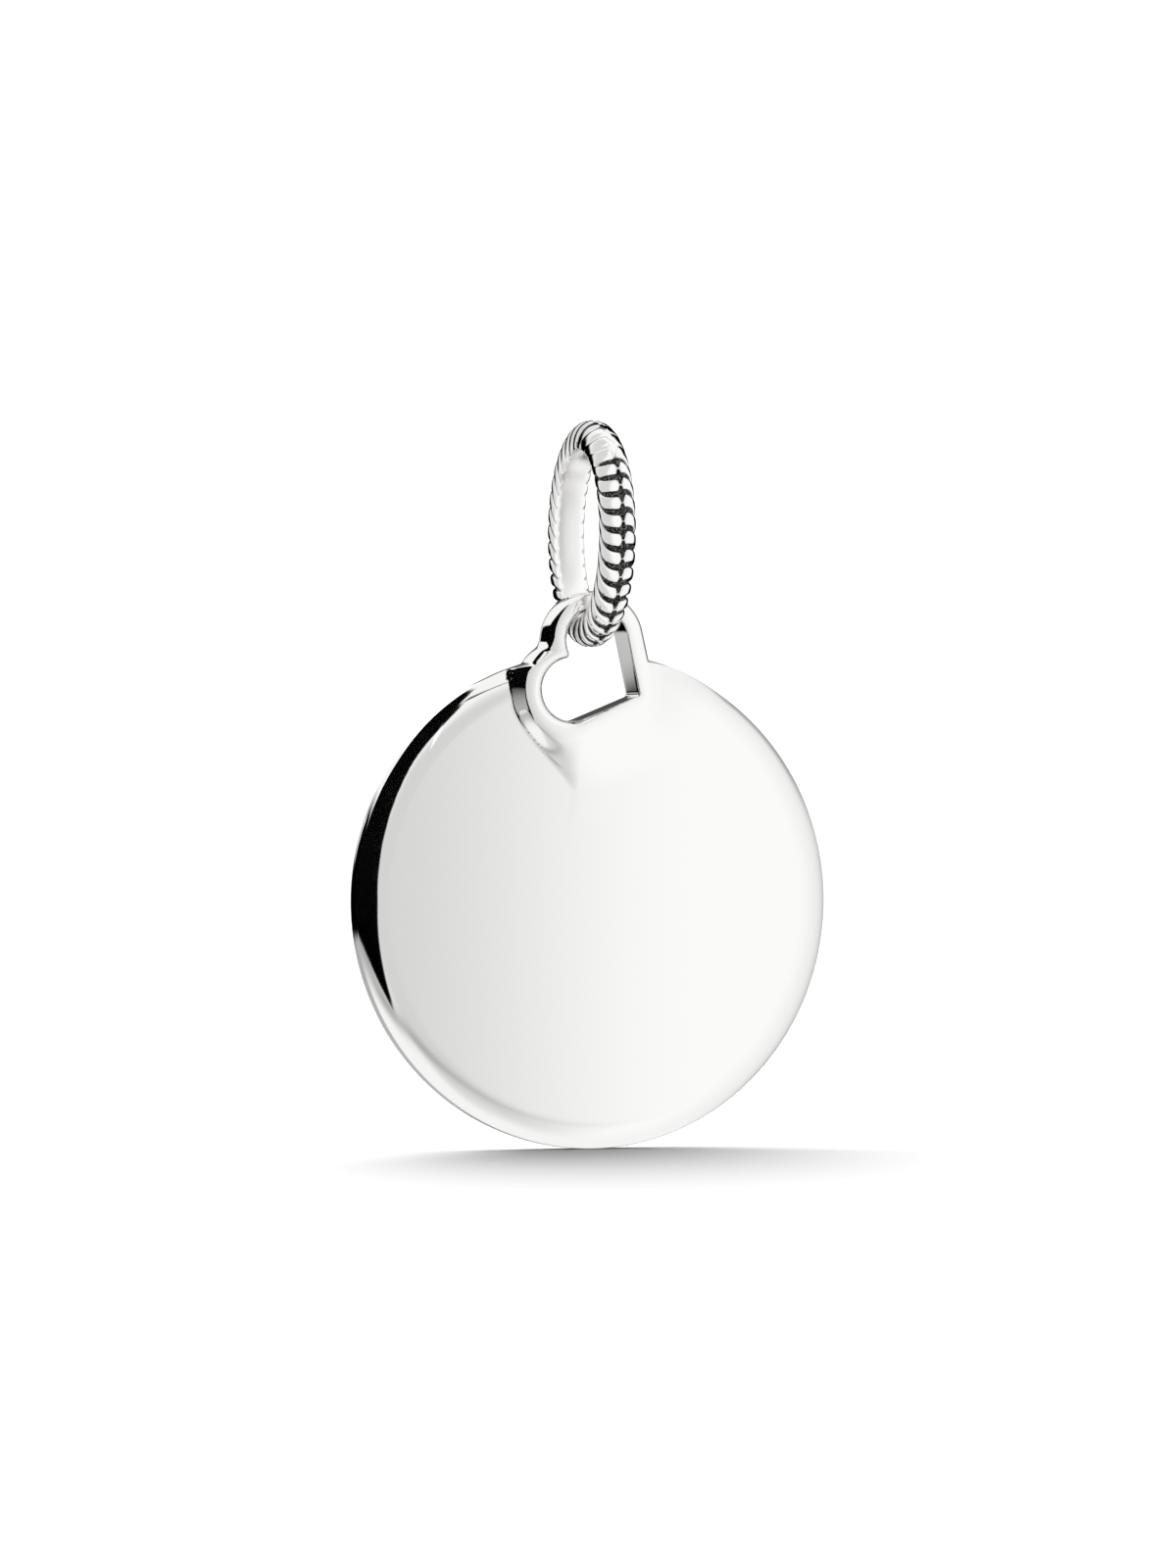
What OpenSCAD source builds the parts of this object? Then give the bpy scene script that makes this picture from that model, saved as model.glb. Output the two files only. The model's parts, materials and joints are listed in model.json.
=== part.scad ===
// Disc pendant: a polished disc with a raised heart-shaped eye, hanging on an oval rope-pattern bail.
// The origin is the chain seat, the highest point of the bail's inner face.
// The chain runs along X, the disc's face looks along -Y and +Z is up. Millimetres.

/* [Disc] */
// Diameter of the disc
disc_d = 20; // [17:0.5:24]
// Thickness of the disc, from its flat back to its flat face
disc_t = 1.4; // [1.2:0.05:1.6]
// Width of the rounded shoulder between the face and the edge
shoulder_w = 1.25; // [0.8:0.05:1.6]
// Depth of the rounded shoulder
shoulder_d = 0.6; // [0.3:0.05:0.8]
// Break on the back edge
back_break = 0.12; // [0.05:0.01:0.2]

/* [Eye] */
// Thickness of the eye, from the disc's flat back to the front of its frame
eye_t = 1.8; // [1.7:0.05:2]
// Radius of the heart opening's two lobes
lobe_r = 1.28; // [1.2:0.02:1.4]
// Distance between the centres of the two lobes
lobe_gap = 2.23; // [2.1:0.01:2.4]
// Distance from the middle of the lobes to the heart's point
heart_len = 2.4; // [2.2:0.05:2.6]
// Angle of the heart's axis below the horizontal
heart_tilt = 28; // [20:1:35]
// Inside radius at the heart's point
point_r = 0.15; // [0.1:0.01:0.3]
// Height of the upper lobe's centre above the disc's edge
eye_rise = 0.5; // [0.3:0.05:0.7]
// Width of the loop's metal round the upper lobe
loop_w = 0.74; // [0.65:0.01:0.9]
// Width that the loop's front edge is rounded back
loop_edge_w = 0.17; // [0.1:0.01:0.3]
// Width of the frame's front round the lower lobe and the point
frame_w = 0.78; // [0.6:0.01:0.9]
// Width of the slope from the frame's front down to the disc's face, round the lower lobe
flank_w = 0.5; // [0.3:0.05:0.7]
// Width of that slope round the point, where the frame fades into the face
point_flank_w = 1.2; // [0.6:0.05:1.5]
// Radius of the hollow where the loop's left side runs into the disc's edge
root_r = 1.4; // [0.8:0.1:1.8]
// Width that the opening's edges are broken, front and back
opening_break = 0.3; // [0.25:0.01:0.35]

/* [Bail] */
// Inside height of the bail
bail_in_h = 6.8; // [6.4:0.05:8.5]
// Inside depth of the bail, from front to back
bail_in_d = 5.6; // [5:0.05:7]
// Thickness of the bail's wire, from its inner face to the crests of the rope
wire_t = 1.24; // [1.1:0.02:1.4]
// Width of the bail's wire at its widest
wire_w = 1.46; // [1.34:0.02:1.6]
// Width of the wire's smooth inner face
inner_face_w = 1.2; // [1:0.02:1.28]
// Distance from one strand of the rope to the next, along the crests
strand_pitch = 0.76; // [0.7:0.02:1.1]
// Depth of the gaps between the strands
strand_d = 0.17; // [0.05:0.01:0.2]
// How far a strand runs ahead along the rope, from its centre groove to its inner edge
strand_slant = 0.55; // [0:0.05:0.7]
// Share of the relief that is left on the polished crown
crown_relief = 0.15; // [0:0.05:1]

/* [Fit] */
// Gap between the bail and the eye that hangs on it
seat_gap = 0.35; // [0.3:0.05:0.5]

/* [Hidden] */
$fn = 120;
SILVER = [0.86, 0.86, 0.87];
// Overlap that joins solids of one casting
lap = 0.05;

// Depths from the middle of the eye's thickness, with the front positive
eye_front = eye_t / 2;
back_plane = -eye_t / 2;
face_plane = back_plane + disc_t;
frame_h = eye_front - face_plane;

// Heights from the chain seat. The disc swings about the upper lobe's centre, because the
// lobe slides over the bail's wire.
eye_top_in_z = -bail_in_h + seat_gap;
upper_lobe = [0, eye_top_in_z - lobe_r];
disc_r = disc_d / 2;
disc_mid = [0, upper_lobe[1] - eye_rise - disc_r];

// The heart's lower lobe and point, from its tilted axis
function along(angle, length) = length * [cos(angle), sin(angle)];
lower_lobe = upper_lobe + along(-90 - heart_tilt, lobe_gap);
heart_point = (upper_lobe + lower_lobe) / 2 + along(-heart_tilt, heart_len);

// The hollow's centre lies at these distances from the loop's centre and the disc's
loop_r = lobe_r + loop_w;
root_from_loop = loop_r + root_r;
root_from_disc = disc_r + root_r;
loop_above = upper_lobe[1] - disc_mid[1];
root_up = (root_from_disc * root_from_disc - root_from_loop * root_from_loop
           + loop_above * loop_above) / (2 * loop_above);
root_mid = disc_mid + [-sqrt(root_from_disc * root_from_disc - root_up * root_up), root_up];

// Steps of the shoulder's curve, and the profile of the disc from its axis out and back
shoulder_steps = 9;
disc_profile = concat(
    [[0, back_plane], [disc_r - back_break, back_plane], [disc_r, back_plane + back_break]],
    [for (k = [0 : shoulder_steps])
        let (a = 90 * k / shoulder_steps)
        [disc_r - shoulder_w * (1 - cos(a)), face_plane - shoulder_d * (1 - sin(a))]],
    [[0, face_plane]]);

// Turns a flat drawing in X and Y so that it stands in X and Z, with its height towards the front
module upright() rotate([90, 0, 0]) children();

// The straight-sided part of a shape that wraps two circles
function wrap_sides(c1, r1, c2, r2) =
    let (d = c2 - c1, way = atan2(d[1], d[0]), lean = acos((r1 - r2) / norm(d)))
    [c1 + along(way + lean, r1), c2 + along(way + lean, r2),
     c2 + along(way - lean, r2), c1 + along(way - lean, r1)];

module wrapped_pair(c1, r1, c2, r2) {
    translate(c1) circle(r1);
    translate(c2) circle(r2);
    polygon(wrap_sides(c1, r1, c2, r2));
}

// The heart drawn round its three centres, with a radius for each
module heart(upper_r, lower_r, tip_r) {
    wrapped_pair(upper_lobe, upper_r, heart_point, tip_r);
    wrapped_pair(lower_lobe, lower_r, heart_point, tip_r);
}

module opening_outline() heart(lobe_r, lobe_r, point_r);

module loop_outline() heart(loop_r, lobe_r + frame_w, point_r + frame_w);

// Everything that the disc covers, seen from the front
module casting_outline() {
    translate(disc_mid) circle(disc_r);
    loop_outline();
    difference() {
        polygon([disc_mid, upper_lobe, root_mid]);
        translate(root_mid) circle(root_r);
    }
}

// A solid cone frustum between two depths
module frustum(centre, low, high, low_r, high_r)
    translate([centre[0], centre[1], low]) cylinder(h = high - low, r1 = low_r, r2 = high_r, $fn = 48);

// One arm of the heart's raised front, from a lobe to the point, sloping down to its foot
module frame_arm(centre, front_r, slope_w) {
    foot = face_plane - shoulder_d;
    rise = (eye_front - foot) / frame_h;
    hull() {
        frustum(centre, foot, eye_front, front_r + slope_w * rise, front_r);
        frustum(heart_point, foot, eye_front,
                point_r + frame_w + point_flank_w * rise, point_r + frame_w);
    }
}

module frame_front() intersection() {
    union() {
        frame_arm(upper_lobe, loop_r - loop_edge_w, loop_edge_w);
        frame_arm(lower_lobe, lobe_r + frame_w, flank_w);
    }
    translate([0, 0, back_plane]) linear_extrude(eye_t) casting_outline();
}

// The loop and its root, from the back up to where the frame's slopes begin
module loop_block() translate([0, 0, back_plane])
    linear_extrude(disc_t - shoulder_d + lap) difference() {
        casting_outline();
        translate(disc_mid) circle(disc_r - shoulder_w);
    }

module opening_cut() translate([0, 0, back_plane - lap])
    linear_extrude(eye_t + 2 * lap) opening_outline();

// The cut that breaks the opening's front edge, and the same one on the back
module opening_edge_cut() {
    low = eye_front - opening_break;
    high = eye_front + lap;
    grow = opening_break + lap;
    hull() {
        frustum(upper_lobe, low, high, lobe_r, lobe_r + grow);
        frustum(heart_point, low, high, point_r, point_r + grow);
    }
    hull() {
        frustum(lower_lobe, low, high, lobe_r, lobe_r + grow);
        frustum(heart_point, low, high, point_r, point_r + grow);
    }
}

module disc() color(SILVER) upright() difference() {
    union() {
        translate(disc_mid) rotate_extrude() polygon(disc_profile);
        loop_block();
        frame_front();
    }
    opening_cut();
    opening_edge_cut();
    mirror([0, 0, 1]) opening_edge_cut();
}

// The bail's inner face is an ellipse. Its angle t is 0 at the bottom, 90 in front and 180 at the chain.
in_y = bail_in_d / 2;
in_z = bail_in_h / 2;
function oval_point(t) = [-in_y * sin(t), -in_z - in_z * cos(t)];
function oval_outward(t) = let (n = [-in_z * sin(t), -in_y * cos(t)]) n / norm(n);

// The strands are spread evenly over the crests' perimeter
out_y = in_y + wire_t;
out_z = in_z + wire_t;
crest_length = PI * (3 * (out_y + out_z) - sqrt((3 * out_y + out_z) * (out_y + 3 * out_z)));
strands = round(crest_length / strand_pitch);
steps_per_strand = 6;
rings = strands * steps_per_strand;
slant_angle = 360 * strand_slant / crest_length;

// Half of the wire's section, from the inner face's edge at -90 over the widest place at 0 to the crest.
// Columns: angle, share of the relief, share of the centre groove.
ANGLE = 0;
RELIEF = 1;
GROOVE = 2;
half_section = [
    [-90, 0.0, 0],
    [-45, 0.5, 0],
    [0, 1.0, 0],
    [30, 1.0, 0],
    [56, 1.0, 0],
    [74, 1.0, 0.1],
];
crest_station = [90, 1.0, 1];
half_stations = len(half_section);
stations = 2 * half_stations + 1;

// The stations run from the left edge of the inner face over the crest to its right edge
function station_row(k) = k == half_stations ? crest_station
    : half_section[k < half_stations ? k : stations - 1 - k];
function station_side(k) = sign(k - half_stations);

// The wire is widest at this distance from its inner face
widest = 0.35 * wire_t;
side_w = wire_w / 2;
edge_w = inner_face_w / 2;

// Across the wire and out from its inner face, at an angle of the right half section
function half_point(a) = a < 0
    ? [edge_w + (side_w - edge_w) * cos(a), widest * (1 + a / 90)]
    : [side_w * cos(a), widest + (wire_t - widest) * sin(a)];

// Half the pitch ahead of a gap the strand is at its full height
function crest(step) = sqrt(abs(sin(180 * step / steps_per_strand)));

// The relief fades on the crown, which lies in front of the chain seat
crown_from = 126;
crown_to = 174;
crown_fade = 6;
function ramp(x) = min(1, max(0, x));
function crown(t) = ramp((t - crown_from) / crown_fade) * ramp((crown_to - t) / crown_fade);
function relief(t) = 1 - (1 - crown_relief) * crown(t);

// The same point on its own side, sunk towards the middle of the wire
function section_point(a, side, depth) =
    let (core = [0, widest], p = half_point(a), sunk = core + (p - core) * (1 - depth / norm(p - core)))
    [side * sunk[0], sunk[1]];

function bail_point(ring, k) =
    let (row = station_row(k),
         side = station_side(k),
         t = 360 * ring / rings - slant_angle * side * (90 - row[ANGLE]) / 180,
         cut = max(1 - crest(ring % steps_per_strand), row[GROOVE]),
         p = section_point(row[ANGLE], side, strand_d * row[RELIEF] * cut * relief(t)),
         yz = oval_point(t) + oval_outward(t) * p[1])
    [p[0], yz[0], yz[1]];

module bail() color(SILVER) polyhedron(
    points = [for (ring = [0 : rings - 1], station = [0 : stations - 1]) bail_point(ring, station)],
    faces = [for (ring = [0 : rings - 1], station = [0 : stations - 1])
        let (next_ring = (ring + 1) % rings, next_station = (station + 1) % stations,
             a = ring * stations + station, b = next_ring * stations + station,
             c = next_ring * stations + next_station, d = ring * stations + next_station)
        each [[a, b, c], [a, c, d]]]);

bail();
disc();
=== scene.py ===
# %% [markdown]
# A polished silver pendant: a plain disc that hangs by a heart-shaped eye on an oval ring, the bail. The bail
# is smooth inside and carries two rows of slanted rope strands outside, with blackened gaps. The lesson dresses
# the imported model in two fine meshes, gives them two finishes of silver, and photographs them in a small white
# studio. Everything below is in millimetres until a mesh is written, because a jewel is easiest to think of
# that way.

# %% The frame and its sizes
import json
import math

import bmesh
import bpy
import numpy as np
from mathutils import Matrix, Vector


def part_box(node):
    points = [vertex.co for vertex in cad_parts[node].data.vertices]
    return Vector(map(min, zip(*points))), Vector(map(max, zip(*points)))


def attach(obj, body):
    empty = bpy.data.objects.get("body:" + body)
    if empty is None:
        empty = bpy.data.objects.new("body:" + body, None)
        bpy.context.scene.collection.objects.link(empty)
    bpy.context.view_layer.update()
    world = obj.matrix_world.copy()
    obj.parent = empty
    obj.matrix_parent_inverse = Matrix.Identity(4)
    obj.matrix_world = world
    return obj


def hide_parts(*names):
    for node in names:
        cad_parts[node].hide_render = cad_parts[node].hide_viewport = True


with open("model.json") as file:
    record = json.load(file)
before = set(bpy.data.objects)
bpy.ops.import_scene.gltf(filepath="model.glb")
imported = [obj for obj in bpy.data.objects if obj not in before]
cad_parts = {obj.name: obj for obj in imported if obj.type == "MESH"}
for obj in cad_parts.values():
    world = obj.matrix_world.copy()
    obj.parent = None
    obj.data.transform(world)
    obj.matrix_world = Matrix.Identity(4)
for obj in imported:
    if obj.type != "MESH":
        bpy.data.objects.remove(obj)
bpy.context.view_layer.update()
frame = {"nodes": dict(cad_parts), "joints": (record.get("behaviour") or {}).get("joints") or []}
MM = 0.001
disc_low, disc_high = (np.array(corner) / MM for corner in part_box("disc"))
bail_low, bail_high = (np.array(corner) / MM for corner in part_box("bail"))
hinge = np.array(frame["joints"][0]["pos_m"]) / MM
print("disc", disc_low.round(2), disc_high.round(2), "bail", bail_low.round(2), bail_high.round(2))

# %% [markdown]
# ## A ring of rings
# Both pieces are rings in the mathematician's sense: the disc has one hole, the eye, and the bail has one hole,
# for the chain. A flat grid can be rolled into either one. Its rows run once round the hole and its columns run
# once round the metal, so the two pairs of opposite borders meet and are welded. The grid operator makes the
# faces, and each piece then only has to say where a point of the grid goes. The alternative, cutting one solid
# out of another with booleans, leaves uneven faces along every cut, and a mirror finish shows each of them.

# %% A grid that is rolled into a ring
def rolled_grid(name, places, **kept):
    """A closed mesh from places[row, column] = (x, y, z) in millimetres. Rows and columns close on themselves.
    Each kept value is stored on the points under its own name, for a finish to read."""
    rows, columns = places.shape[:2]
    closed = np.pad(places, ((0, 1), (0, 1), (0, 0)), mode="wrap")
    bm = bmesh.new()
    layers = [bm.verts.layers.float.new(title) for title in kept]
    values = [np.pad(table, ((0, 1), (0, 1)), mode="wrap").reshape(-1) for table in kept.values()]
    bmesh.ops.create_grid(bm, x_segments=columns, y_segments=rows, size=1.0)
    for vert, place, *numbers in zip(bm.verts, closed.reshape(-1, 3) * MM, *values):
        vert.co = place
        for layer, number in zip(layers, numbers):
            vert[layer] = number
    bmesh.ops.remove_doubles(bm, verts=bm.verts, dist=1e-9)
    bmesh.ops.recalc_face_normals(bm, faces=bm.faces)
    for face in bm.faces:
        face.smooth = True
    mesh = bpy.data.meshes.new(name)
    bm.to_mesh(mesh)
    bm.free()
    piece = bpy.data.objects.new(name, mesh)
    bpy.context.scene.collection.objects.link(piece)
    print(name, len(mesh.vertices), "points", len(mesh.polygons), "faces")
    return piece


# %% [markdown]
# ## The disc and its eye
# On the real pendant the disc and the eye are one casting: a flat face, a shoulder that rounds down to the
# edge, and a raised frame round a leaning heart. The heart is two circles and a small one at its point, wrapped
# as a belt wraps two pulleys. The distance to such a shape has a simple formula, and every width of the casting
# is a distance: the break on the opening's edge, the front of the frame, and the slope down to the face.

# %% Sizes of the disc
disc_r = (disc_high[0] - disc_low[0]) / 2
disc_mid = np.array([0.0, disc_low[2] + disc_r])
eye_front = -disc_low[1]
back_plane = -disc_high[1]
disc_t, shoulder_w, shoulder_d = 1.4, 1.25, 0.6
face_plane = back_plane + disc_t
frame_h = eye_front - face_plane
lobe_r, point_r, frame_w = 1.28, 0.15, 0.78
upper_lobe = np.array([0.0, hinge[2]])
loop_r = disc_high[2] - hinge[2]
heart_tilt, lobe_gap, heart_len, root_r = math.radians(28), 2.23, 2.4, 1.4
opening_fill, outline_fill, sharp_fill = 0.25, 0.3, 0.01
fill_from, fill_until = -1.0, 0.5


def along(angle, length):
    return length * np.array([math.cos(angle), math.sin(angle)])


lower_lobe = upper_lobe + along(-math.pi / 2 - heart_tilt, lobe_gap)
heart_point = (upper_lobe + lower_lobe) / 2 + along(-heart_tilt, heart_len)
print("lobes", upper_lobe.round(2), lower_lobe.round(2), "point", heart_point.round(2))


# %% [markdown]
# Three small steps serve everything that follows, from the slopes of the frame to the cards of the studio. They
# are smooth, because a mirror turns a hard step into a line.

# %% Soft steps
def rise(low, high, value):
    """0 below low, 1 above high and smooth between. It falls where low is the larger."""
    share = np.clip((value - low) / (high - low), 0, 1)
    return share * share * (3 - 2 * share)


def window(value, start, full, fading, end):
    """1 between full and fading, and 0 outside start and end."""
    return rise(start, full, value) * rise(end, fading, value)


def blend(start, end, share):
    return start + (end - start) * share


# %% Distances to circles and to the shapes that wrap them
def from_point(x, z, centre):
    return np.hypot(x - centre[0], z - centre[1])


def wrap_distance(x, z, c1, r1, c2, r2):
    """How far a place lies outside the belt round two circles."""
    length = np.linalg.norm(c2 - c1)
    ux, uz = (c2 - c1) / length
    onward = (x - c1[0]) * ux + (z - c1[1]) * uz
    across = np.abs((x - c1[0]) * uz - (z - c1[1]) * ux)
    lean = (r1 - r2) / length
    level = math.sqrt(1 - lean * lean)
    at = onward * level - across * lean
    side = across * level + onward * lean - r1
    ends = np.where(at < 0, from_point(x, z, c1) - r1, from_point(x, z, c2) - r2)
    return np.where((at < 0) | (at > level * length), ends, side)


def soft_min(a, b, fill):
    """The smaller of two values, with the corner between them filled over this much of their difference."""
    return np.minimum(a, b) - np.maximum(fill - np.abs(a - b), 0) ** 2 / (4 * fill)


def heart_distance(x, z, upper_r, lower_r, tip_r, fill):
    """How far a place lies outside a heart of these radii. The notch on its left is filled softly."""
    fill = blend(sharp_fill, fill, rise(fill_until, fill_from, x))
    return soft_min(wrap_distance(x, z, upper_lobe, upper_r, heart_point, tip_r),
                    wrap_distance(x, z, lower_lobe, lower_r, heart_point, tip_r), fill)


def opening_distance(x, z):
    return heart_distance(x, z, lobe_r, lobe_r, point_r, opening_fill)


def frame_distance(x, z, fill):
    return heart_distance(x, z, loop_r, lobe_r + frame_w, point_r + frame_w, fill)


# %% [markdown]
# The left side of the loop runs into the disc's edge through a small hollow. Its circle touches both the loop
# and the disc from outside, which fixes its centre. The metal between them is a triangle with that circle taken
# out.

# %% The outline of the casting
from_loop, from_disc = loop_r + root_r, disc_r + root_r
loop_above = upper_lobe[1] - disc_mid[1]
root_up = (from_disc**2 - from_loop**2 + loop_above**2) / (2 * loop_above)
root_mid = disc_mid + np.array([-math.sqrt(from_disc**2 - root_up**2), root_up])


def left_of(x, z, start, end):
    """How far a place lies to the right of the line from start to end, so that the left side is negative."""
    way = (end - start) / np.linalg.norm(end - start)
    return (x - start[0]) * way[1] - (z - start[1]) * way[0]


def outline_distance(x, z):
    corners = [disc_mid, upper_lobe, root_mid]
    root = np.maximum.reduce([left_of(x, z, a, b) for a, b in zip(corners, corners[1:] + corners[:1])])
    root = np.maximum(root, root_r - from_point(x, z, root_mid))
    return np.minimum.reduce([root, frame_distance(x, z, outline_fill), from_point(x, z, disc_mid) - disc_r])


print("hollow at", root_mid.round(2))


# %% [markdown]
# The front of the casting is a height above every place of its outline. A quarter of an ellipse makes each
# rounded edge. The frame stands out crisply on the left, and the polishing wheel has softened it towards the
# heart's point: there its slope is long, its corners are round, and the break on the opening's edge is narrow.
# One share, from 0 on the left to 1 on the right, steers all of these. On the left the frame's front ends at
# its notch in a straight border, and the shoulder is deepest where the loop grows out of the disc.

# %% The height of the front
crisp_until, soft_from = -3.0, -0.7
loop_edge_left, loop_edge_right = (0.2, 0.72), (0.34, 0.4)
opening_edge_left, opening_edge_right, opening_edge_d, back_opening_edge = 0.38, 0.12, 0.3, 0.14
flank_left, flank_right = 0.47, 1.3
corner_left, corner_right = 0.03, 0.5
foot_left, foot_right = 0.07, 0.34
frame_dome, below_face = 0.02, 4.0
notch_top, notch_foot = np.array([-1.9, -8.15]), np.array([-3.0, -8.95])
notch_soft, notch_steep, notch_fade = 0.15, 1.5, 2.0
shoulder_spare, shoulder_d_at_root, fall_past_edge = 0.05, 0.85, 3.0
root_from_z, root_from_x = (-13.0, -10.5), (0, -2)
crease_in, crease_least, crease_grows = 0.043, 0.01, (0.7, 1.9)
opening_edge_turns = (-1.8, 1.5)


def quarter(inward, width):
    """0 at an edge and 1 from width inwards, along a quarter of an ellipse."""
    share = np.clip(inward / width, 0, 1)
    return np.sqrt(share * (2 - share))


def crease_at(z):
    """How far the front stops short of the outline. The crease runs along the disc alone, not round the loop."""
    return blend(crease_least, crease_in, rise(*crease_grows, upper_lobe[1] - z))


def notch_distance(x, z):
    """How far a place lies outside the straight border that the frame's front has at its notch, on the left."""
    past_top = np.maximum(z - notch_top[1], 0)
    return notch_steep * left_of(x, z, notch_top, notch_foot) - notch_fade * past_top


def raised_height(x, z, opening):
    """The frame's front and the slope outside it."""
    soft = rise(crisp_until, soft_from, x)
    outside = -soft_min(-frame_distance(x, z, sharp_fill), -notch_distance(x, z), notch_soft)
    corner = blend(corner_left, corner_right, soft)
    fall = (outside + np.hypot(outside, corner)) / 2 / blend(flank_left, flank_right, soft)
    fall = fall + below_face * (1 - soft) * np.maximum(fall - 1, 0)
    dome = frame_dome * (2 * np.clip(opening / frame_w, 0, 1) - 1) ** 2
    return eye_front - frame_h * fall - dome


def front_height(x, z):
    """The face with its shoulder, the frame that stands on it, and the rounded edges of both."""
    beyond = from_point(x, z, disc_mid) - disc_r
    shoulder = blend(shoulder_d, shoulder_d_at_root, rise(*root_from_z, z) * rise(*root_from_x, x))
    face = face_plane - shoulder * (1 - quarter(shoulder_spare - beyond, shoulder_w))
    face = face - fall_past_edge * np.maximum(beyond, 0)
    opening = np.maximum(opening_distance(x, z), 0)
    foot = blend(foot_left, foot_right, rise(crisp_until, soft_from, x))
    height = -soft_min(-face, -raised_height(x, z, opening), foot)
    inward = -outline_distance(x, z) - crease_at(z)
    rightwards = rise(-loop_r, loop_r, x)
    width, depth = (blend(*pair, rightwards) for pair in zip(loop_edge_left, loop_edge_right))
    height = np.minimum(height, eye_front - depth * (1 - quarter(inward, width)))
    width = blend(opening_edge_left, opening_edge_right, rise(*opening_edge_turns, x))
    return np.minimum(height, eye_front - np.minimum(width, opening_edge_d) * (1 - quarter(opening, width)))


# %% [markdown]
# The grid's rows start from one place inside the heart and run outwards as rays. On each ray the places crowd
# together at both ends, where the edges round off, and stand far apart on the flat face. The rays themselves are
# spread by the length of outline that they cross, half by the heart and half by the disc.

# %% Rays from the heart to the edge
ray_start = upper_lobe + np.array([0.1, -1.1])
ray_count, outline_samples = 640, 8001
farthest, halvings = 25.0, 45


def reach(distance, angles):
    """How far from the start each ray crosses a border, by halving."""
    low, high = np.zeros_like(angles), np.full_like(angles, farthest)
    for _ in range(halvings):
        middle = (low + high) / 2
        inside = distance(ray_start[0] + middle * np.cos(angles), ray_start[1] + middle * np.sin(angles)) < 0
        low, high = np.where(inside, middle, low), np.where(inside, high, middle)
    return (low + high) / 2


def border_steps(distance, angles):
    """The share of a border's length that lies between each ray and the next."""
    r = reach(distance, angles)
    x, z = r * np.cos(angles), r * np.sin(angles)
    steps = np.hypot(np.diff(x), np.diff(z))
    return steps / steps.sum()


fine = np.linspace(0, 2 * math.pi, outline_samples)
shares = np.cumsum(border_steps(opening_distance, fine) + border_steps(outline_distance, fine)) / 2
angles = np.interp(np.arange(ray_count) / ray_count, np.concatenate([[0], shares]), fine)


def outline_inside(inset):
    """Where the rays cross a line that runs inside the casting's outline, at this distance from it."""
    return reach(lambda x, z: outline_distance(x, z) + inset, angles)


def ray_places(r):
    """Where the rays are at this distance from their start."""
    return ray_start[0] + r * np.cos(angles), ray_start[1] + r * np.sin(angles)


rim = np.stack(ray_places(outline_inside(0)))
crease = crease_at(rim[1])
inner_r, outer_r = reach(opening_distance, angles), outline_inside(crease)
print("rays cross", inner_r.min().round(2), "to", outer_r.max().round(2), "mm")

# %% [markdown]
# The edge of the disc isn't straight from front to back. The shoulder stops at a soft crease, and the metal
# behind it is barrelled by the polishing wheel: it is widest a third of the way back and draws in towards the
# back face. The crease is what draws the thin dark line along the lower rim.

# %% The edge from front to back
edge_rows = np.array([0.015, 0.035, 0.06, 0.1, 0.18, 0.3, 0.42, 0.54, 0.66, 0.76, 0.85, 0.93, 1.0])
barrel_at, barrel_len, crease_len = 0.3, 0.98, 0.036
barrel_curve, barrel_behind = 0.11, 0.16


def barrel(share):
    """How far the edge lies inside the outline, from the front at 0 to the back at 1, without its crease."""
    y = (share - barrel_at) * barrel_len
    return barrel_curve * y**2 + barrel_behind * np.maximum(y, 0) ** 4


def edge_inset(share):
    """The same with its crease, which the front's border starts in."""
    return barrel(share) + (crease - barrel(0)) * np.exp(-share * barrel_len / crease_len)


back_in = barrel(1.0)
print("the edge draws in by", back_in.round(3), "mm at the back")

# %% Places along the rays, out over the front and back over the rest
frame_span, shoulder_span, back_break = 3.1, 1.45, 0.06
most_for_frame, most_for_shoulder, most_for_back_break, least_square_on = 0.5, 0.45, 0.2, 0.1
back_rows_from, back_rows_to = 0.25, 0.75
back_r = outline_inside(back_in)
span = outer_r - inner_r
square_on = np.abs(np.cos(angles) * (rim[0] - disc_mid[0]) + np.sin(angles) * (rim[1] - disc_mid[1])) / disc_r
inner_span = np.minimum(frame_span, most_for_frame * span)
outer_span = np.minimum(shoulder_span / np.clip(square_on, least_square_on, 1), most_for_shoulder * span)


def crowded(count, share, dense):
    """Shares from 0 to 1: dense steps that grow over the first share, then even ones."""
    start = share * (1 - np.cos(np.linspace(0, math.pi / 2, dense)))
    return np.concatenate([start, np.linspace(share, 1, count - dense + 1)[1:]])


frame_rows, shoulder_rows = crowded(52, 0.17, 10)[:, None], crowded(20, 0.95, 17)[:, None]
face_rows = np.linspace(0, 1, 10)[1:-1, None]
out_rings = np.concatenate([inner_r + inner_span * frame_rows,
                            inner_r + inner_span + (span - inner_span - outer_span) * face_rows,
                            (outer_r - outer_span * shoulder_rows)[::-1]])
back_edge_rows, back_opening_rows = crowded(6, 0.99, 5)[1:, None], crowded(8, 0.99, 7)[:, None]
back_face_rows = np.linspace(back_rows_from, back_rows_to, 6)[:, None]
back_rings = np.concatenate([back_r - np.minimum(back_break * back_edge_rows, most_for_back_break * span),
                             back_r - span * back_face_rows,
                             (inner_r + back_opening_edge * back_opening_rows)[::-1]])


def back_height(x, z):
    """The flat back with its broken edges, measured towards the front."""
    edge = back_break * (1 - quarter(-outline_distance(x, z) - back_in, back_break))
    opening = back_opening_edge * (1 - quarter(opening_distance(x, z), back_opening_edge))
    return back_plane + np.maximum(edge, opening)


def wall(rings, shares, start, end):
    """Places on the rays, with depths that go from start to end."""
    x, z = ray_places(rings)
    return np.stack([x, start + (end - start) * shares, z], axis=-1)


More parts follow.
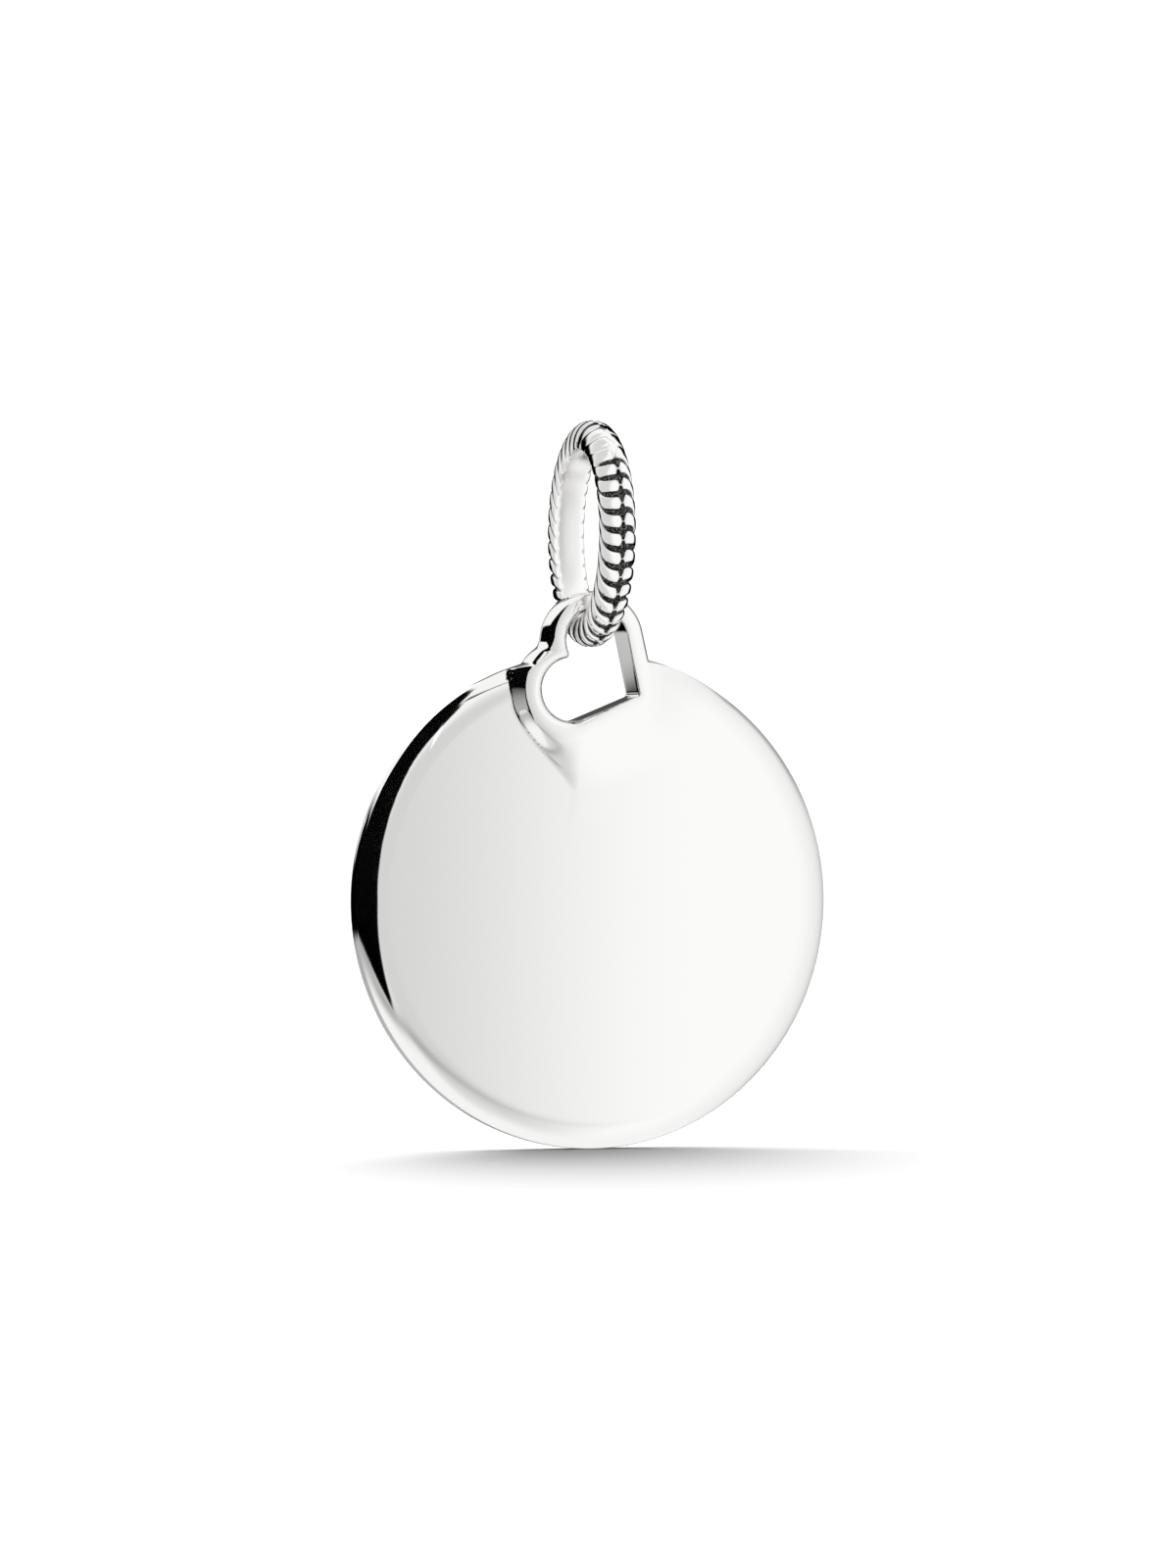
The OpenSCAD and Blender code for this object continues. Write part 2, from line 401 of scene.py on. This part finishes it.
def sheet_of(rings, height):
    """Places on the rays, at the height of a face above each of them."""
    x, z = ray_places(rings)
    return np.stack([x, -height(x, z), z], axis=-1)


front = sheet_of(out_rings, front_height)
back = sheet_of(back_rings, back_height)
outer_wall = wall(np.stack([outline_inside(edge_inset(share)) for share in edge_rows]), edge_rows[:, None],
                  front[-1, :, 1], -(back_plane + back_break))
inner_shares = np.linspace(0, 1, 8)[1:-1, None]
inner_wall = wall(inner_r + 0 * inner_shares, inner_shares, back[-1, :, 1], front[0, :, 1])
disc = rolled_grid("disc_casting", np.concatenate([front, outer_wall, back, inner_wall]))

# %% [markdown]
# ## The bail
# The bail's wire has a flat inner face and a round back. Its relief is two rows of strands that lean one way,
# as in a twisted rope, and end in round shoulders on both sides of a centre groove. The grid's columns run
# round the wire and its rows run along the oval, and each row is bent into the curve of a strand, so that the
# gaps follow the grid. The strands were worn and polished away where the ring faces the viewer at the top.

# %% Sizes of the bail
wire_t = bail_high[2]
wire_w = bail_high[0] - bail_low[0]
in_y, in_z = 2.8, 3.4
inner_face_w, widest_share = 1.2, 0.35
strand_count, rows_per_strand = 36, 26
strand_slant, slant_bend, row_lag, lag_starts = 0.9, 3.0, 0.12, (1, 0.85)
gap_narrow, gap_wide, gap_depth, side_depth = 0.13, 0.18, 0.2, 0.1
groove_start, groove_end = 0.86, 0.95
gap_widens, dome_flat, dome_round = (0.3, 0.8), 3, 0.45
relief_deepens, relief_starts = (0.3, 0.6), 0.06
crown, crown_left = (128.0, 136.0, 164.0, 172.0), 0.14


# %% The wire's section, from the edge of the inner face to the crest
def half_section(turn):
    """Across and outwards on the right half: -90 is on the inner face, 0 the widest place and 90 the crest."""
    turn = np.radians(turn)
    widest = widest_share * wire_t
    rounding = (wire_w - inner_face_w) / 2
    across = np.where(turn < 0, rounding * np.cos(turn) + inner_face_w / 2, wire_w / 2 * np.cos(turn))
    out = np.where(turn < 0, widest * (1 + np.sin(turn)), widest + (wire_t - widest) * np.sin(turn))
    return np.stack([across, out], axis=-1)


finer_from = 0.74
turns = np.linspace(-90, 90, 721)
trace = half_section(turns)
travel = np.concatenate([[0], np.cumsum(np.hypot(*np.diff(trace, axis=0).T))])
half_length = travel[-1]
section_share = np.concatenate([np.linspace(0, finer_from, 22), np.linspace(finer_from, 1, 20)[1:]])
half = half_section(np.interp(section_share, travel / half_length, turns))
print("half section", half_length.round(2), "mm in", len(half), "places")

# %% Strands and gaps
out_y, out_z = in_y + wire_t, in_z + wire_t
crest_length = math.pi * (3 * (out_y + out_z) - math.sqrt((3 * out_y + out_z) * (out_y + 3 * out_z)))
pitch = crest_length / strand_count


def strand_dome(phase, share):
    """1 on a strand's back, 0 in the gaps and the groove. phase is 0 at a gap, share is 0 at the inner face."""
    gap = blend(gap_narrow, gap_wide, rise(*gap_widens, share))
    closing = np.clip((share - groove_start) / (groove_end - groove_start), 0, 1)
    half_width = (1 - gap / pitch) * np.cbrt(1 - closing**3)
    off_centre = np.abs(2 * phase - 1) / np.maximum(half_width, 1e-6)
    return np.maximum(0, 1 - off_centre**dome_flat) ** dome_round


def strand_shift(share, side):
    """How far along the rope a strand has moved at this place of the section."""
    lag = row_lag * (side > 0) * rise(*lag_starts, share)
    return -side * strand_slant * (1 - share) ** slant_bend + lag


# %% The oval and the places of the grid
def oval(t):
    """The inner face at an angle, 0 at the bottom, 90 in front and 180 at the chain, and its way outwards."""
    place = np.stack([-in_y * np.sin(t), -in_z - in_z * np.cos(t)], axis=-1)
    out = np.stack([-in_z * np.sin(t), -in_y * np.cos(t)], axis=-1)
    return place, out / np.linalg.norm(out, axis=-1, keepdims=True)


row = np.arange(strand_count * rows_per_strand)[:, None]
phase = (row % rows_per_strand) / rows_per_strand
inner_count = 5


def bail_side(side, shares, section):
    """One half of the wire's outside, as places and as the depth of the relief."""
    t = 2 * math.pi * (row / (strand_count * rows_per_strand) + strand_shift(shares, side) / crest_length)
    worn = window(np.degrees(t) % 360, *crown)
    depth = blend(side_depth, gap_depth, rise(*relief_deepens, shares)) * rise(0, relief_starts, shares)
    cut = (1 - strand_dome(phase, shares)) * depth * (1 - (1 - crown_left) * worn)
    core = np.array([0, widest_share * wire_t])
    inward = core - section
    inward = inward / np.linalg.norm(inward, axis=-1, keepdims=True)
    flat = section + cut[..., None] * inward
    place, out = oval(t)
    yz = place + out * flat[..., 1:]
    return np.concatenate([side * flat[..., :1], yz], axis=-1), cut


right, right_cut = bail_side(1, section_share, half)
left, left_cut = bail_side(-1, section_share, half)
across_face = np.linspace(0, 1, inner_count + 2)[1:-1, None]
inner_face = left[:, :1] + (right[:, :1] - left[:, :1]) * across_face
flat_cut = np.zeros((len(row), inner_count))
bail_places = np.concatenate([left[:, ::-1], inner_face, right[:, :-1]], axis=1)
bail_cuts = np.concatenate([left_cut[:, ::-1], flat_cut, right_cut[:, :-1]], axis=1)

# %% [markdown]
# Two numbers are kept on the points of the mesh for the finish to read: how deep the relief is cut, so that the
# gaps can be blackened, and where the inner face is, because it is only brushed.

# %% The bail's mesh
on_inner_face = np.zeros_like(bail_cuts)
on_inner_face[:, len(half) - 1:len(half) + inner_count + 1] = 1
bail = rolled_grid("bail_ring", bail_places, gap_depth=bail_cuts / gap_depth, inner_face=on_inner_face)
print("deepest gap", bail_cuts.max().round(3), "mm")


# %% [markdown]
# ## Finishes
# Polished silver is a metal with almost no roughness. A faint unevenness in the roughness, from the polishing
# wheel, keeps its reflections from looking like glass. In the gaps of the rope the silver is blackened: darker,
# duller and pitted. One ramp over the depth attribute turns the polish into the blackening.

# %% Helpers for materials
def new_material(name):
    material = bpy.data.materials.new(name)
    material.use_nodes = True
    tree = material.node_tree
    return material, tree, tree.nodes["Principled BSDF"]


def node(tree, kind, inputs=(), **settings):
    made = tree.nodes.new(kind)
    for key, value in settings.items():
        setattr(made, key, value)
    for key, value in dict(inputs).items():
        if isinstance(value, bpy.types.NodeSocket):
            tree.links.new(value, made.inputs[key])
        else:
            made.inputs[key].default_value = value
    return made


def noise_at(tree, per_mm, detail=2.0):
    """Noise on object coordinates, with a size given in bumps to the millimetre."""
    place = node(tree, "ShaderNodeTexCoord")
    return node(tree, "ShaderNodeTexNoise", {"Vector": place.outputs["Object"], "Scale": per_mm / MM,
                                             "Detail": detail})


# %% Polished silver
silver_colour = (0.93, 0.925, 0.915, 1)
haze_per_mm, polish = 0.6, (0.03, 0.07)


def polished_silver():
    material, tree, shader = new_material("polished_silver")
    shader.inputs["Metallic"].default_value = 1.0
    shader.inputs["Base Color"].default_value = silver_colour
    haze = noise_at(tree, haze_per_mm)
    rough = node(tree, "ShaderNodeMapRange", {"Value": haze.outputs["Fac"], "To Min": polish[0],
                                              "To Max": polish[1]})
    tree.links.new(rough.outputs["Result"], shader.inputs["Roughness"])
    return material


# %% Blackened silver
black_depth, dullness = (0.3, 0.55), (0.05, 0.3)
grain_per_mm, grain_detail, grain_range, grain_level = 14.0, 3.0, (0.45, 0.7), (0.004, 0.22)


def oxidised_silver():
    material, tree, shader = new_material("oxidised_silver")
    shader.inputs["Metallic"].default_value = 1.0
    deep = node(tree, "ShaderNodeAttribute", attribute_name="gap_depth")
    black = node(tree, "ShaderNodeMapRange", {"Value": deep.outputs["Fac"], "From Min": black_depth[0],
                                              "From Max": black_depth[1]})
    grain = noise_at(tree, grain_per_mm, grain_detail)
    speck = node(tree, "ShaderNodeMapRange", {"Value": grain.outputs["Fac"], "From Min": grain_range[0],
                                              "From Max": grain_range[1], "To Min": grain_level[0],
                                              "To Max": grain_level[1]})
    colour = node(tree, "ShaderNodeMixRGB", {"Fac": black.outputs["Result"], "Color1": silver_colour,
                                             "Color2": speck.outputs["Result"]})
    tree.links.new(colour.outputs["Color"], shader.inputs["Base Color"])
    inside = node(tree, "ShaderNodeAttribute", attribute_name="inner_face")
    duller = node(tree, "ShaderNodeMath", {0: black.outputs["Result"], 1: inside.outputs["Fac"]},
                  operation="MAXIMUM")
    rough = node(tree, "ShaderNodeMapRange", {"Value": duller.outputs["Value"], "To Min": dullness[0],
                                              "To Max": dullness[1]})
    tree.links.new(rough.outputs["Result"], shader.inputs["Roughness"])
    return material


disc.data.materials.append(polished_silver())
bail.data.materials.append(oxidised_silver())
for piece, node_name, slot_name in ((disc, "disc", "polished_silver"), (bail, "bail", "oxidised_silver")):
    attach(piece, node_name)
    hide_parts(node_name)
    frame["nodes"][node_name].data.materials.clear()
    frame["nodes"][node_name].data.materials.append(piece.data.materials[0])

# %% [markdown]
# ## The studio
# A mirror shows its surroundings, so the surroundings make the picture. The floor and the air are white. Black
# and grey cards stand close round the silver, and its curved edges pick them up as dark bands and thin
# outlines.
#
# The camera looks level, and would see a level floor as a line. The paper is therefore bent under the lowest
# point of the rim: it is level behind the pendant and falls away by a few degrees in front of it, and the soft
# shadow under the rim shows on the slope. It is turned with the camera, so that the bend never crosses the
# picture.

# %% Floor
floor_z = disc_low[2]
view_azimuth = math.radians(-19)
floor_size, floor_tilt, floor_bend = 600.0, math.radians(4), -1.0
paper_colour, paper_roughness = (0.93, 0.93, 0.93, 1), 0.9


def staged(name, bm, material):
    """A thing of the studio, which isn't part of the pendant."""
    mesh = bpy.data.meshes.new(name)
    bm.to_mesh(mesh)
    bm.free()
    mesh.materials.append(material)
    thing = bpy.data.objects.new(name, mesh)
    bpy.context.scene.collection.objects.link(thing)
    return thing


def paper():
    material, tree, shader = new_material("paper")
    shader.inputs["Base Color"].default_value = paper_colour
    shader.inputs["Roughness"].default_value = paper_roughness
    shader.inputs["Specular IOR Level"].default_value = 0.0
    return material


def bent_sheet():
    """Three rows of points: the middle one lies along the bend, and the front one lies low."""
    bm = bmesh.new()
    bmesh.ops.create_grid(bm, x_segments=2, y_segments=2, size=floor_size * MM)
    for vert in bm.verts:
        in_front = vert.co.y < -floor_size * MM / 2
        behind = vert.co.y > floor_size * MM / 2
        if not in_front and not behind:
            vert.co.y = floor_bend * MM
        vert.co.z = (floor_z - floor_size * math.tan(floor_tilt) * in_front) * MM
    bmesh.ops.rotate(bm, verts=bm.verts, matrix=Matrix.Rotation(view_azimuth, 3, "Z"))
    return bm


floor = staged("floor", bent_sheet(), paper())
floor.visible_glossy = False
print("the floor falls", round(floor_size * math.tan(floor_tilt), 1), "mm towards the camera")


# %% [markdown]
# A jeweller's photographer tapes cards all round the piece, and moves them until every curve reads. Here the
# whole room of cards is one sphere round each piece. Its glow is kept at its points, by azimuth and elevation:
# azimuth 0 is in front of the pendant and grows to the right, elevation 0 is level. A sphere takes a smooth
# card as easily as a sharp one, which loose planes don't. Light linking lets each piece see its own room alone,
# as when two exposures of one jewel are joined. The rooms show in reflections only, so the floor and the camera
# don't meet them.
#
# A room is white before its cards are hung. Each card multiplies the glow by what it leaves of the light: 0 for
# black and 1 for none. All angles below are in degrees.

# %% Cards of the disc's room
room_white = 0.98
# In front, for the flat face: a little darker on the left than on the right
face_glow, face_gain, face_turns = 0.70, 0.33, (2, 26)
face_window, face_height = (-30, -12, 30, 50), (60, 30)
# On the right and behind, a grey card: azimuth and what is left
grey_card = np.array([(45, 1.0), (66, 0.93), (80, 0.84), (95, 0.7), (115, 0.5), (135, 0.58), (180, 0.66)])
grey_window = (-60, -30, 45, 75)
# Low in front, the edge of the table, as a soft grey line
table_dim, table_window, table_height, table_half = 0.42, (-75, -35, -30, 35), -25, 5
# On the left, for the broad black band: azimuth, lower edge and upper edge. It is closed where they cross
black_card = np.array([(-176, 2, -2), (-172, -6, 5.6), (-157, -6.5, 5.6), (-154, -7, 17), (-150, -7, 33),
                       (-143, -8, 43), (-135, -9, 62), (-118, -9, 69), (-90, -10, 72), (-65, -13, 68),
                       (-50, -16, 61), (-40, -19, 58), (-34, -21, 53), (-30, -23, 46), (-24, -19, 28),
                       (-19, -11, 13), (-14, -2, 0), (-13, 1, -3)])
black_edge = 1.1
# Under the black card, a grey one that fades downwards
under_dim, under_height, under_window = 0.55, 22, (-175, -120, -60, -20)
# Round spots behind: azimuth, elevation, dark within, clear beyond and what is left
dark_spots = [(170, 26, 7, 11, 0.25), (168, -22, 35, 60, 0.5), (161, 0, 14, 19, 0.04)]
# Above on the right, a light grey card
upper_dim, upper_window, upper_from = 0.35, (10, 28, 50, 75), (70, 95)
# A black oval behind on the right, for the dark line beside the loop
oval_at, oval_size, oval_edge = (135, 18), (26, 10), (0.7, 1.0)
# A thin dark line high in front, for the heart's point: its height at one azimuth, its fall, and where it thins
line_azimuths, line_at, line_height, line_fall = (-45, -6), -10, 57, 0.13
line_edge, line_thins, line_thinner = (0.8, 2.0), (-32, -20), 0.6
# A black strip behind on the left: its bottom, its top at one azimuth, and its climb
strip_azimuths, strip_bottom, strip_at, strip_top, strip_climb = (-170, -149), 14, -169, 24.5, 0.36


def apart(azimuth, elevation, to_azimuth, to_elevation):
    """The angle between each direction and one of them."""
    a, e = np.radians(azimuth - to_azimuth), np.radians(elevation)
    t = math.radians(to_elevation)
    return np.degrees(np.arccos(np.clip(np.sin(e) * math.sin(t) + np.cos(e) * math.cos(t) * np.cos(a), -1, 1)))


def between(value, low, high):
    return (value > low) & (value < high)


# %% The room of the disc, card by card
def soft_cards(azimuth, elevation):
    """The white room with the face's fade, the grey card on the right and the table."""
    face = face_glow + face_gain * rise(*face_turns, azimuth)
    seen_by_face = window(azimuth, *face_window) * rise(*face_height, np.abs(elevation))
    glow = blend(room_white, face, seen_by_face)
    to_right = np.interp(azimuth, *grey_card.T)
    glow = glow * blend(1, to_right, window(elevation, *grey_window))
    table = window(azimuth, *table_window) * np.exp(-((elevation - table_height) / table_half) ** 2)
    above = window(elevation, *upper_window) * rise(*upper_from, azimuth)
    return glow * (1 - table_dim * table) * (1 - upper_dim * above)


def dark_lines(azimuth, elevation):
    """What the spots, the oval, the thin line and the strip leave of the light."""
    across, up = (azimuth - oval_at[0]) / oval_size[0], (elevation - oval_at[1]) / oval_size[1]
    left = rise(*oval_edge, np.hypot(across, up))
    for at_azimuth, at_elevation, dark_within, clear_beyond, spot_left in dark_spots:
        away = apart(azimuth, elevation, at_azimuth, at_elevation)
        left = left * blend(spot_left, 1, rise(dark_within, clear_beyond, away))
    off_line = np.abs(elevation - line_height + line_fall * (azimuth - line_at))
    off_line = off_line + line_thinner * rise(*line_thins, azimuth)
    left = left * np.where(between(azimuth, *line_azimuths), rise(*line_edge, off_line), 1)
    top = strip_top + strip_climb * (azimuth - strip_at)
    return left * ~(between(azimuth, *strip_azimuths) & between(elevation, strip_bottom, top))


def disc_room(azimuth, elevation):
    """The soft cards and the dark lines, with the black card and the grey one under it."""
    side, low, high = black_card.T
    low, high = np.interp(azimuth, side, low), np.interp(azimuth, side, high)
    under = window(azimuth, *under_window) * rise(low - under_height, low, elevation) * (elevation < low + 1)
    on_card = rise(-black_edge, black_edge, np.minimum(elevation - low, high - elevation))
    glow = soft_cards(azimuth, elevation) * dark_lines(azimuth, elevation)
    return glow * (1 - under_dim * under) * (1 - on_card)


# %% The room of the bail
bail_mid_z = (bail_low[2] + bail_high[2]) / 2
bail_white = 1.03
# In front on the right, for the inner face: darker downwards and upwards from the middle
inner_window, inner_dim = (0, 12, 30, 45), 0.18
inner_down, inner_dim_down, inner_up, inner_dim_up = (-10, -55), 0.2, (15, 70), 0.25
# On the left a light grey card, and behind a black spot
left_window, left_dim = (-155, -120, -75, -40), 0.3
spot_at, spot_edge = (161, 0), (48, 62)


def bail_room(azimuth, elevation):
    dim = inner_dim + inner_dim_down * rise(*inner_down, elevation) + inner_dim_up * rise(*inner_up, elevation)
    glow = bail_white - dim * window(azimuth, *inner_window)
    glow = glow * (1 - left_dim * window(azimuth, *left_window))
    return glow * rise(*spot_edge, apart(azimuth, elevation, *spot_at))


# %% Building a room
room_radius, bail_room_radius, end_radius = 40.0, 60.0, 200.0


def bare_material(name):
    material = bpy.data.materials.new(name)
    material.use_nodes = True
    material.node_tree.nodes.clear()
    return material, material.node_tree


def in_reflections_alone(thing):
    thing.visible_camera = thing.visible_diffuse = thing.visible_shadow = False
    thing.visible_transmission = thing.visible_volume_scatter = False


def glowing(name, bm, levels, receiver):
    """A sheet that one piece alone meets, in reflections alone. It glows on its front, and lets light through."""
    layer = bm.verts.layers.float.new("glow")
    for vert, level in zip(bm.verts, levels):
        vert[layer] = level
    material, tree = bare_material(name)
    material.cycles.emission_sampling = "NONE"
    kept = node(tree, "ShaderNodeAttribute", attribute_name="glow")
    sides = node(tree, "ShaderNodeNewGeometry")
    on_front = node(tree, "ShaderNodeMath", {0: 1.0, 1: sides.outputs["Backfacing"]}, operation="SUBTRACT")
    one_sided = node(tree, "ShaderNodeMath", {0: kept.outputs["Fac"], 1: on_front.outputs["Value"]},
                     operation="MULTIPLY")
    light = node(tree, "ShaderNodeEmission", {"Strength": one_sided.outputs["Value"]})
    clear = node(tree, "ShaderNodeBsdfTransparent")
    both = node(tree, "ShaderNodeAddShader", {0: light.outputs[0], 1: clear.outputs[0]})
    node(tree, "ShaderNodeOutputMaterial", {"Surface": both.outputs[0]})
    sheet = staged(name, bm, material)
    in_reflections_alone(sheet)
    receivers = bpy.data.collections.new(name + "_receivers")
    receivers.objects.link(receiver)
    sheet.light_linking.receiver_collection = receivers
    print(name, "glows from", round(min(levels), 2), "to", round(max(levels), 2))


def room(name, glow, middle_z, radius, receiver):
    """A sphere that looks inwards, with the glow of a room at each of its points."""
    bm = bmesh.new()
    bmesh.ops.create_icosphere(bm, subdivisions=7, radius=radius * MM)
    bmesh.ops.reverse_faces(bm, faces=bm.faces)
    out = np.array([vert.co for vert in bm.verts]) / (radius * MM)
    azimuth, elevation = np.arctan2(out[:, 0], -out[:, 1]), np.arcsin(np.clip(out[:, 2], -1, 1))
    bmesh.ops.translate(bm, verts=bm.verts, vec=(0, 0, middle_z * MM))
    glowing(name, bm, glow(np.degrees(azimuth), np.degrees(elevation)), receiver)


def end_of_the_room(radius):
    """A black sphere round both rooms, because light passes through their walls."""
    bm = bmesh.new()
    bmesh.ops.create_icosphere(bm, subdivisions=3, radius=radius * MM)
    material, tree = bare_material("dark")
    black = node(tree, "ShaderNodeEmission", {"Strength": 0.0})
    node(tree, "ShaderNodeOutputMaterial", {"Surface": black.outputs[0]})
    in_reflections_alone(staged("dark_room", bm, material))


# %% [markdown]
# The room's wall is far away, so two curves that look the same way see the same card. Where the photograph
# shows them apart, a small slip stands close to the silver instead, beside the one curve that is to see it. It
# has a front and a back, as a slip of paper has, and it glows to its front alone. Its glow is added to that of
# the wall behind it, so a slip only brightens, and it is laid over a dark card.

# %% Two slips
# Left of the heart, grey, for the lower part of the frame's left slope: height and glow
grey_slip = np.array([(-13.5, 0), (-12.8, 0.45), (-12.1, 0.45), (-11.2, 0.38), (-10.6, 0.3), (-9.7, 0.12),
                      (-9.4, 0)])
grey_slip_x, grey_slip_y = -7.0, (-6.5, -1.6)
# Behind the disc's left shoulder, white, for the white line outside the black band: height and glow
white_slip = np.array([(-14.2, 0), (-13.0, 0.98), (-7.0, 0.98)])
white_slip_x, white_slip_y = (-13.0, -4.4), 3.0


def slip(name, levels, start, end):
    """An upright sheet between two places of the floor plan. Its front is on the right of the way between them."""
    bm = bmesh.new()
    bmesh.ops.create_grid(bm, x_segments=2, y_segments=60, size=0.5)
    for vert in bm.verts:
        x, y = blend(np.array(start), np.array(end), vert.co.x + 0.5)
        vert.co = np.array([x, y, blend(levels[0, 0], levels[-1, 0], vert.co.y + 0.5)]) * MM
    glowing(name, bm, [np.interp(vert.co.z / MM, *levels.T) for vert in bm.verts], disc)


slip("grey_slip", grey_slip, (grey_slip_x, grey_slip_y[0]), (grey_slip_x, grey_slip_y[1]))
slip("white_slip", white_slip, (white_slip_x[0], white_slip_y), (white_slip_x[1], white_slip_y))
room("disc_room", disc_room, disc_mid[1], room_radius, disc)
room("bail_room", bail_room, bail_mid_z, bail_room_radius, bail)
end_of_the_room(end_radius)

# %% [markdown]
# The camera sees plain white air. The light that falls on the floor is another matter: it comes from behind the
# pendant, and little of it from the camera's side. The disc then keeps that light from the slope of the paper in
# front of it, and a soft shadow grows under the rim.

# %% Air
air_level, air_front, air_back, air_turns = 1.12, 0.12, 2.8, 0.25
world = bpy.data.worlds.new("studio_air")
bpy.context.scene.world = world
world.use_nodes = True
sky = world.node_tree
air = sky.nodes["Background"]
air.inputs["Color"].default_value = (1, 1, 1, 1)
backwards = (-math.sin(view_azimuth), math.cos(view_azimuth), 0)
way = node(sky, "ShaderNodeTexCoord")
depth = node(sky, "ShaderNodeVectorMath", {0: way.outputs["Generated"], 1: backwards}, operation="DOT_PRODUCT")
from_back = node(sky, "ShaderNodeMapRange", {"Value": depth.outputs["Value"], "From Min": -air_turns,
                                             "From Max": air_turns, "To Min": air_front, "To Max": air_back})
path = node(sky, "ShaderNodeLightPath")
strength = node(sky, "ShaderNodeMix", {"Factor": path.outputs["Is Diffuse Ray"], "A": air_level,
                                       "B": from_back.outputs["Result"]})
sky.links.new(strength.outputs["Result"], air.inputs["Strength"])
bpy.context.scene.view_settings.view_transform = "Standard"
bpy.context.scene.cycles.caustics_reflective = False

# %% [markdown]
# ## The camera
# The photograph was taken level, from 19 degrees to the pendant's left, with a long lens. The picture is 1600
# pixels high and shows 25.28 of them to the millimetre, which fixes the distance for the lens.

# %% The camera
picture_h, px_per_mm = 1600, 25.28
lens_mm, sensor_mm = 180, 36
middle_right, middle_up = -3.5 / px_per_mm, 4.727
camera = bpy.data.objects.new("camera", bpy.data.cameras.new("camera"))
bpy.context.scene.collection.objects.link(camera)
camera.data.sensor_fit = "VERTICAL"
camera.data.sensor_height = sensor_mm
camera.data.lens = lens_mm
distance = picture_h / px_per_mm * lens_mm / sensor_mm
right_way = np.array([math.cos(view_azimuth), math.sin(view_azimuth), 0])
back_way = np.array([math.sin(view_azimuth), -math.cos(view_azimuth), 0])
target = right_way * middle_right + np.array([0, 0, disc_mid[1] + middle_up])
camera.location = (target + back_way * distance) * MM
camera.rotation_euler = (math.pi / 2, 0, view_azimuth)
camera.data.clip_start, camera.data.clip_end = 0.001, 10
bpy.context.scene.camera = camera
print("camera", (np.array(camera.location) / MM).round(1), "mm, distance", round(distance, 1))
